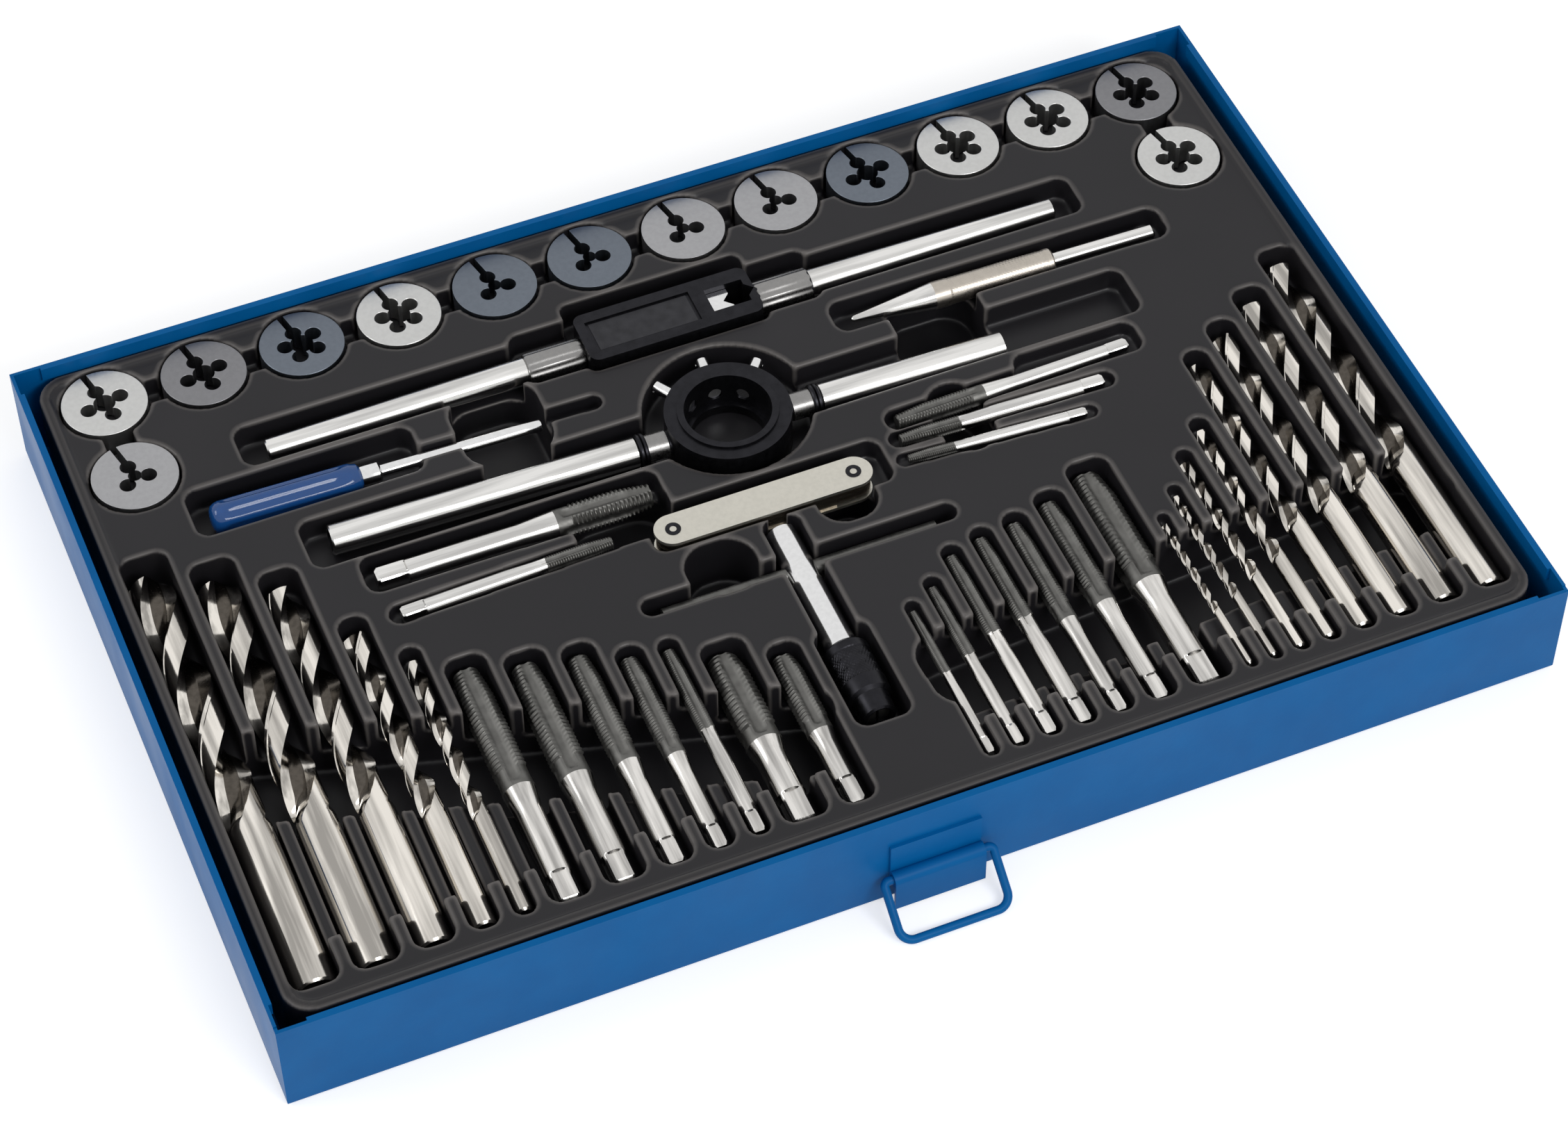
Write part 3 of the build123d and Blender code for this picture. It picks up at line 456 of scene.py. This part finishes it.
def close_corners(mesh):
    """Adds a quarter ring of wall at each corner of the insert's skirt, which the remesh joins to it."""
    low, high = box_of("tool_insert")
    shape = bmesh.new()
    shape.from_mesh(mesh)
    for number, (x, y) in enumerate(((high.x, high.y), (low.x, high.y), (low.x, low.y), (high.x, low.y))):
        middle_x = x - math.copysign(INSERT_CORNER, x)
        middle_y = y - math.copysign(INSERT_CORNER, y - (low.y + high.y) / 2)
        sweep = even(number * math.pi / 2, (number + 1) * math.pi / 2, CORNER_STEPS)
        section = [(INSERT_CORNER, angle) for angle in sweep]
        section += [(INSERT_CORNER - INSERT_SKIN, angle) for angle in reversed(sweep)]
        outline = [
            ((middle_x + radius * math.cos(angle)) * MM, (middle_y + radius * math.sin(angle)) * MM)
            for radius, angle in section
        ]
        foot = [shape.verts.new((*point, low.z * MM)) for point in outline]
        top = [shape.verts.new((*point, (high.z - CORNER_DROP) * MM)) for point in outline]
        shape.faces.new(reversed(foot))
        shape.faces.new(top)
        for step in range(len(outline)):
            beside = (step + 1) % len(outline)
            shape.faces.new((foot[step], foot[beside], top[beside], top[step]))
    shape.to_mesh(mesh)
    shape.free()


def bake(piece):
    """Applies a piece's modifiers to its mesh."""
    view = bpy.context.evaluated_depsgraph_get()
    view.update()
    made = bpy.data.meshes.new_from_object(piece.evaluated_get(view))
    piece.modifiers.clear()
    piece.data = made


# ---------------------------------------------------------------- drills and taps
def drill(node):
    """A twist drill with two helical flutes, a narrow margin beside each, and a ground point."""
    seat, diameter, length = seat_of(node)
    radius = diameter / 2
    shank = length * (1 - FLUTE_SHARE)
    lead = math.pi * diameter / math.tan(HELIX_ANGLE)
    edge = math.acos((FLUTE_CENTRE**2 + 1 - FLUTE_RADIUS**2) / (2 * FLUTE_CENTRE))
    margin = edge + MARGIN_ANGLE
    half = even(-edge, edge, 16) + [margin, margin + 0.03] + even(margin + 0.1, math.pi - edge - 0.08, 6)
    angles = [angle + turn for turn in (0, math.pi) for angle in half]
    slope = math.tan(POINT_ANGLE / 2)
    point = radius / slope

    def section(angle):
        near = (angle + edge) % math.pi - edge
        if near <= edge:
            reach = FLUTE_RADIUS**2 - (FLUTE_CENTRE * math.sin(near)) ** 2
            return min(1.0, FLUTE_CENTRE * math.cos(near) - math.sqrt(max(reach, 0)))
        return 1.0 if near <= margin + 0.001 else CLEARED_RADIUS

    def skin(distance, angle):
        if distance < DRILL_CHAMFER:
            return radius - DRILL_CHAMFER + distance
        cut = ease((distance - shank) / diameter)
        wide = radius * (1 + (section(angle) - 1) * cut)
        return min(wide, max(length - distance, 0) * slope)

    steps = max(int((length - shank) / lead * STEPS_PER_TURN), LEAST_STEPS)
    stations = [0.0, DRILL_CHAMFER / 2, DRILL_CHAMFER, *even(2, shank, 4)]
    stations += even(shank, length - point, steps)[1:]
    stations += even(length - point, length - 0.01 * radius, 10)[1:]
    rings = [
        (distance, [skin(distance, angle) for angle in angles], 2 * math.pi * max(distance - shank, 0) / lead)
        for distance in stations
    ]
    fluted = [int(section(angle + 0.01) < FLUTE_PAINT) for angle in angles]
    paints = [fluted if distance > shank + radius else 0 for distance in stations[:-1]]
    piece = new_piece(
        f"twist_{node}", ring_skin(node, seat, angles, rings, paints), BODY_OF_NODE[node], DRILL, FLUTED
    )
    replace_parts(piece, node)


def tap(node, seat, diameter, length, thread, ridge, finish):
    """A hand tap: cut threads, four straight flutes, a plain shank and a square drive.

    ridge is the depth of its thread, as a share of its diameter, and finish is its shank's material.
    """
    radius = diameter / 2
    slim = diameter < SLIM_TAP
    shank = radius if slim else radius * SHANK_SHARE
    flat = shank * SQUARE_SHARE
    square = 2 * shank * SQUARE_LENGTH_SHARE + SQUARE_RUN
    thread_start = length - thread
    lead_start = length * (1 - TAP_LEAD)
    pitch = 0.12 * diameter + 0.15
    neck = thread_start + RUN_OUT_SHARE * thread
    angles = [angle + math.pi / 4 for angle in around(TAP_SIDES)]

    def skin(distance, angle):
        if distance < square:
            corner = max(abs(math.cos(angle)), abs(math.sin(angle)))
            return min(shank, flat / corner) * min(1.0, 0.8 + 0.25 * distance)
        if distance < thread_start:
            return shank
        wave = abs(((distance / pitch - angle / (2 * math.pi)) % 1.0) - 0.5) * 2
        outer = radius - ridge * diameter * wave if distance > neck else radius * RUN_OUT_RADIUS
        outer -= LEAD_TAPER * radius * max(distance - lead_start, 0) / (length - lead_start)
        near = (angle + math.pi / 4) % (math.pi / 2) - math.pi / 4
        if abs(near) < TAP_FLUTE_HALF_ANGLE:
            depth = TAP_FLUTE_DEPTH * radius * math.sqrt(1 - (near / TAP_FLUTE_HALF_ANGLE) ** 2)
            outer = min(outer, radius - depth * ease((distance - thread_start) / 3))
        return outer

    stations = [0.0, 0.8, *even(0.9, square - 0.01, 3), square + 0.3, *even(square + 0.6, thread_start, 4)]
    stations += even(thread_start + 0.2, neck, 6)
    stations += even(neck, length, max(int((length - neck) / pitch * STEPS_PER_THREAD), 12))[1:]
    rings = [(distance, [skin(distance, angle) for angle in angles], 0.0) for distance in stations]
    dark = neck if slim else thread_start - 1
    paints = [int(distance > dark) for distance in stations[:-1]]
    piece = new_piece(
        f"cut_{node}", ring_skin(node, seat, angles, rings, paints), BODY_OF_NODE[node], finish, OXIDE
    )
    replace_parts(piece, node)


def make_taps():
    for node in ROW_TAPS:
        seat, diameter, length = seat_of(node)
        tap(node, seat, diameter, length, length * THREAD_SHARE, FINE_RIDGE, ROW_STEEL)
    for node, (tip, square, diameter, thread) in MIDDLE_TAPS.items():
        seat, length = across(square, tip, diameter / 2)
        tap(node, seat, diameter, length, thread, COARSE_RIDGE, BRIGHT)


# ---------------------------------------------------------------- dies
def make_dies():
    """Each split die as a piece of its own, its edges broken, in the finish that it has in the set."""
    pitch = 2 * DIE_ROW_END / (DIE_COUNT - 1)
    places = [(pitch * number - DIE_ROW_END, DIE_ROW_Y) for number in range(DIE_COUNT)]
    places += [(-DIE_ROW_END, DIE_ROW_Y - pitch), (DIE_ROW_END, DIE_ROW_Y - pitch)]
    for node in ("dies_three_hole", "dies_four_hole", "dies_five_hole"):
        for number, (x, y) in enumerate(places):
            shape = bmesh.new()
            shape.from_mesh(NODES[node].data)
            away = [
                vertex for vertex in shape.verts
                if math.hypot(vertex.co.x / MM - x, vertex.co.y / MM - y) > DIE_REACH
            ]
            bmesh.ops.delete(shape, geom=away, context="VERTS")
            bmesh.ops.remove_doubles(shape, verts=shape.verts, dist=0.001 * MM)
            if shape.verts:
                mesh = bpy.data.meshes.new(f"split_die_{number + 1}")
                shape.to_mesh(mesh)
                mesh.materials.clear()
                smooth(mesh, NODE_ANGLE)
                piece = new_piece(mesh.name, mesh, BODY_OF_NODE[node], DIE_FINISHES[number])
                bevelled(piece, DIE_BREAK)
                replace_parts(piece, node)
            shape.free()


# ---------------------------------------------------------------- other tools
def dress(material, *names, width=0.25):
    """CAD nodes that keep their own shape and get a finish and broken edges of this width."""
    for node in names:
        bevelled(coat(node, material), width)


def stand_in(node, name, mesh, *materials):
    """A modelled piece that replaces a CAD node."""
    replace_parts(new_piece(name, mesh, BODY_OF_NODE[node], *materials), node)


def fluting(depth, count, start=-math.inf, end=math.inf):
    """Shallow round grooves along a neck between two distances, as a depth that follows the angle."""

    def cut(distance, angle):
        return depth * (0.5 + 0.5 * math.cos(count * angle)) if start < distance < end else 0.0

    return cut


def knurling(depth, count, lean, start, end):
    """Two sets of grooves that cross each other between two distances, as a depth."""

    def cut(distance, angle):
        if not start < distance < end:
            return 0.0
        turn, rise = count * angle, distance * lean
        return depth * (abs(math.sin(turn + rise)) + abs(math.sin(turn - rise)))

    return cut


def make_tap_wrench():
    """Black body with its bright jaw, grey fluted necks and bright tapered handles."""
    dress(BLACK, "tap_wrench_body", width=0.7)
    dress(CHROME, "tap_wrench_jaw", width=0.3)
    tapered = [(0.0, 2.9, 0), (0.5, 3.4, 0), (40.0, 3.85, 0), (80.0, 4.3, 0)]
    low, high = box_of("tap_wrench_screw_handle")
    axis_y, axis_z = (low.y + high.y) / 2, (low.z + high.z) / 2
    seat = (Vector((low.x, axis_y, axis_z)), Vector((1, 0, 0)))
    screw = high.x - low.x
    profile = [
        *tapered, (80.5, 4.1, 1), (80.6, 4.7, 1), (81.2, 5.0, 1), (97.4, 5.0, 1), (98.0, 4.6, 1),
        (98.02, 2.5, 1), (screw, 2.5, 1),
    ]
    mesh = lathe("screw_handle", seat, profile, NECK_SIDES, fluting(0.35, NECK_FLUTES, 81, 97.5))
    stand_in("tap_wrench_screw_handle", "wrench_turning_handle", mesh, BRIGHT, NECK)
    low, high = box_of("tap_wrench_fixed_handle")
    seat = (Vector((high.x, axis_y, axis_z)), Vector((-1, 0, 0)))
    mesh = lathe("fixed_handle", seat, [*tapered, (80.5, 4.1, 0)])
    stand_in("tap_wrench_fixed_handle", "wrench_fixed_handle", mesh, BRIGHT)
    profile = [(80.4, 4.9, 0), (81.0, 5.3, 0), (97.0, 5.3, 0), (97.6, 5.0, 0)]
    sleeve = lathe("neck_sleeve", seat, profile, NECK_SIDES, fluting(0.3, NECK_FLUTES))
    new_piece("wrench_neck_sleeve", sleeve, "tap_wrench", NECK)
    make_wrench_shade_card(axis_y)


def make_wrench_shade_card(axis_y):
    """Painted shade: a thin dark card sunk on the left of the wrench body's top."""
    low, high = box_of("tap_wrench_body")
    shade_card = bpy.data.meshes.new("wrench_shade_card")
    left, right, top = low.x + SHADE_CARD_START, low.x + SHADE_CARD_END, high.z - SHADE_CARD_SINK
    half = SHADE_CARD_HALF_WIDTH
    corners = [(left, -half), (right, -half), (right, half), (left, half)]
    points = [(x * MM, (axis_y + y) * MM, z * MM) for z in (top - SHADE_CARD_THICKNESS, top) for x, y in corners]
    faces = [(3, 2, 1, 0), (4, 5, 6, 7), (0, 1, 5, 4), (1, 2, 6, 5), (2, 3, 7, 6), (3, 0, 4, 7)]
    shade_card.from_pydata(points, [], faces)
    # painted shade: this dark card stands in for shade on the wrench body's top
    new_piece("wrench_shade_card", shade_card, "tap_wrench", SHADE)


def make_die_stock():
    """Black ring, grey necks with a dark collar, bright tube handles and bright screws."""
    dress(BLACK, "die_stock_ring", width=0.5)
    dress(CHROME, "set_screw_1", "set_screw_2", "set_screw_3")
    run = Vector((math.cos(STOCK_ANGLE), math.sin(STOCK_ANGLE), 0))
    for node, (side, length) in STOCK_HANDLES.items():
        neck_end = RING_RADIUS + NECK_LENGTH
        seat = (STOCK_CENTRE + run * side * neck_end, run * side)
        wide = STOCK_HANDLE_RADIUS
        profile = [
            (0.0, wide - 0.5, 0), (0.5, wide, 0), (length - 0.4, wide, 0), (length, wide - 0.4, 0),
            (length, wide - 1.2, 1), (length - 6, wide - 1.3, 1),
        ]
        mesh = lathe(f"{node}_tube", seat, profile, 64)
        stand_in(node, f"{node}_tube", mesh, BRIGHT, BLACK)
        collar = [
            (-2.6, NECK_RADIUS, 1), (-2.6, 4.7, 1), (-2.2, 5.0, 1), (-1.6, 5.0, 1), (-1.3, 4.5, 1),
            (-1.0, 5.0, 1), (-0.4, 5.0, 1), (-0.05, 4.6, 1), (-0.05, NECK_RADIUS, 1),
        ]
        neck = [(0.3 - NECK_LENGTH, NECK_RADIUS + 0.05, 0), (0.6 - NECK_LENGTH, NECK_RADIUS + 0.3, 0)]
        neck += [(-2.7, NECK_RADIUS + 0.3, 0), *collar]
        sleeve = lathe(f"{node}_neck", seat, neck, 72)
        new_piece(f"{node}_neck", sleeve, "die_stock", NECK, BLACK)


def make_t_wrench():
    """Bright spindle, black knurled chuck."""
    dress(CHROME, "t_wrench_spindle", width=0.4)
    dress(OXIDE, "t_wrench_bar", "t_wrench_jaws")
    seat, diameter, length = seat_of("t_wrench_chuck")
    radius = diameter / 2
    profile = [(3.0, 3.7, 0), (0.1, 3.9, 0), (0.0, 4.4, 0), (0.5, 5.1, 0), (5.9, 5.5, 0), (6.5, 5.6, 0)]
    profile += [(7.4, 6.7, 0), (11.0, radius, 0)]
    profile += [(distance, radius, 0) for distance in even(11.5, 22.5, 34)]
    profile += [(length - 1.0, radius, 0), (length, radius - 0.9, 0), (length, 3.9, 0)]
    mesh = lathe("chuck", seat, profile, 160, knurling(0.22, 20, 2.2, 12, 22))
    stand_in("t_wrench_chuck", "knurled_chuck", mesh, BLACK)


def make_pitch_gauge():
    """Satin plates with a dark eyelet near each end, and brownish leaves between them."""
    dress(PLATE, "pitch_gauge_case", width=0.3)
    dress(WARM, "pitch_gauge_leaves", width=0.1)
    low, high = box_of("pitch_gauge_case")
    middle = (low + high) / 2
    for number, side in enumerate((-1, 1), 1):
        seat = (Vector((middle.x + side * GAUGE_SPAN / 2, middle.y, high.z - 0.3)), Vector((0, 0, 1)))
        profile = [
            (0.0, EYELET_RADIUS, 0), (0.45, EYELET_RADIUS, 0), (0.6, EYELET_RADIUS - 0.3, 0),
            (0.6, 1.2, 0), (0.35, 1.0, 1), (0.34, 0.4, 1),
        ]
        ring = lathe(f"gauge_eyelet_{number}", seat, profile, 40)
        new_piece(f"gauge_eyelet_{number}", ring, BODY_OF_NODE["pitch_gauge_case"], BLACK, PLATE)


def make_screwdriver():
    """Fluted clear-blue handle with a rounded end, plated collar and shaft."""
    handle, radius = DRIVER_HANDLE
    seat, length = across(*DRIVER_ENDS, radius)

    def flutes(distance, angle):
        fade = ease((distance - 3) / 3) * ease((handle - 4 - distance) / 3)
        return 0.75 * fade * (0.5 + 0.5 * math.cos(6 * angle)) ** 2

    profile = [(0.0, 1.5, 0), (0.25, 2.8, 0), (0.9, 4.0, 0), (2.0, 4.6, 0), (3.2, radius, 0)]
    profile += [(distance, radius, 0) for distance in even(4, handle - 3, 20)]
    profile += [(handle - 2.2, 4.6, 0), (handle - 0.6, 4.2, 0), (handle, 3.4, 0)]
    mesh = lathe("driver_grip", seat, profile, 72, flutes)
    stand_in("screwdriver_handle", "screwdriver_grip", mesh, PLASTIC)
    profile = [
        (handle + 0.05, 3.0, 0), (handle + 0.4, 3.2, 0), (handle + 5.4, 3.2, 0), (handle + 6.0, 2.7, 0),
        (handle + 6.2, 2.0, 0), (length - 9, 2.0, 0), (length - 0.3, 1.9, 0), (length, 1.7, 0),
    ]
    stand_in("screwdriver_blade", "driver_shaft", lathe("driver_shaft", seat, profile), CHROME)


def make_punch():
    """Bright ground point, finely knurled grip and plain rod."""
    seat, length = across(*PUNCH_ENDS, PUNCH_RADIUS)
    profile = [(0.0, 0.6, 0), (0.6, 1.1, 0), (26.0, PUNCH_RADIUS, 1)]
    profile += [(distance, PUNCH_RADIUS, 1) for distance in even(26.5, 64.4, 110)]
    profile += [(65.0, 3.6, 0), (65.05, 2.4, 0), (length - 0.5, 2.4, 0), (length, 2.0, 0)]
    mesh = lathe("punch", seat, profile, 96, knurling(0.12, 16, 3, 31, 63))
    stand_in("centre_punch", "knurled_punch", mesh, BRIGHT, KNURLED)


# ---------------------------------------------------------------- room
def camera_or_mirror(tree):
    """1 for rays from the camera, a mirror or glass, and 0 for the rays that light the object."""
    path = tree.nodes.new("ShaderNodeLightPath")
    total = path.outputs["Is Camera Ray"]
    for kind in ("Is Glossy Ray", "Is Transmission Ray"):
        add = tree.nodes.new("ShaderNodeMath")
        add.operation = "MAXIMUM"
        tree.links.new(total, add.inputs[0])
        tree.links.new(path.outputs[kind], add.inputs[1])
        total = add.outputs[0]
    return total


def lay_floor():
    """A wide white floor that keeps the drawer's shadow, a little brighter to the camera than its light."""
    mesh = bpy.data.meshes.new("floor")
    wide = FLOOR_REACH
    corners = [(-wide, -wide), (wide, -wide), (wide, wide), (-wide, wide)]
    mesh.from_pydata([(x, y, -FLOOR_DROP) for x, y in corners], [], [(0, 1, 2, 3)])
    floor = bpy.data.objects.new("floor", mesh)
    bpy.context.scene.collection.objects.link(floor)
    shader = Shader("floor", (0.9, 0.9, 0.9), 0.0, 0.9, Specular_IOR_Level=0.0)
    shader.put("Emission Color", (1, 1, 1, 1))
    glow = shader.node("Math", operation="MULTIPLY")
    shader.link(camera_or_mirror(shader.tree), glow.inputs[0])
    glow.inputs[1].default_value = FLOOR_GLOW
    shader.link(glow.outputs[0], shader.surface.inputs["Emission Strength"])
    mesh.materials.append(shader.material)


def soft_box(name, place, width, power):
    """A soft lamp that points at the origin."""
    lamp = bpy.data.lights.new(name, "AREA")
    lamp.shape = "RECTANGLE"
    lamp.size = width
    lamp.size_y = LAMP_DEPTH
    lamp.energy = power
    holder = bpy.data.objects.new(name, lamp)
    bpy.context.scene.collection.objects.link(holder)
    holder.location = place
    holder.rotation_euler = (-Vector(place)).to_track_quat("-Z", "Y").to_euler()


def light_room():
    """A white world that lights the object less than it shows to the camera, and the two lamps."""
    world = bpy.data.worlds.new("studio")
    world.use_nodes = True
    tree = world.node_tree
    light = tree.nodes["Background"]
    light.inputs["Color"].default_value = (1, 1, 1, 1)
    seen = camera_or_mirror(tree)
    strength = tree.nodes.new("ShaderNodeMapRange")
    strength.inputs["To Min"].default_value = ROOM_STRENGTH
    strength.inputs["To Max"].default_value = 1.0
    tree.links.new(seen, strength.inputs["Value"])
    tree.links.new(strength.outputs["Result"], light.inputs["Strength"])
    bpy.context.scene.world = world
    for name, (place, width, power) in LAMPS.items():
        soft_box(name, place, width, power)


def place_camera():
    camera = bpy.data.cameras.new("camera")
    camera.sensor_width = CAMERA_SENSOR
    camera.lens = CAMERA_LENS
    holder = bpy.data.objects.new("camera", camera)
    bpy.context.scene.collection.objects.link(holder)
    holder.location = CAMERA_PLACE
    holder.rotation_euler = [math.radians(angle) for angle in CAMERA_TURN]
    bpy.context.scene.camera = holder


place_camera()
dress_drawer()
formed_insert()
for drill_node in DRILL_NODES:
    drill(drill_node)
make_taps()
make_dies()
make_tap_wrench()
make_die_stock()
make_t_wrench()
make_pitch_gauge()
make_screwdriver()
make_punch()
lay_floor()
light_room()
bpy.context.scene.view_settings.view_transform = "Standard"
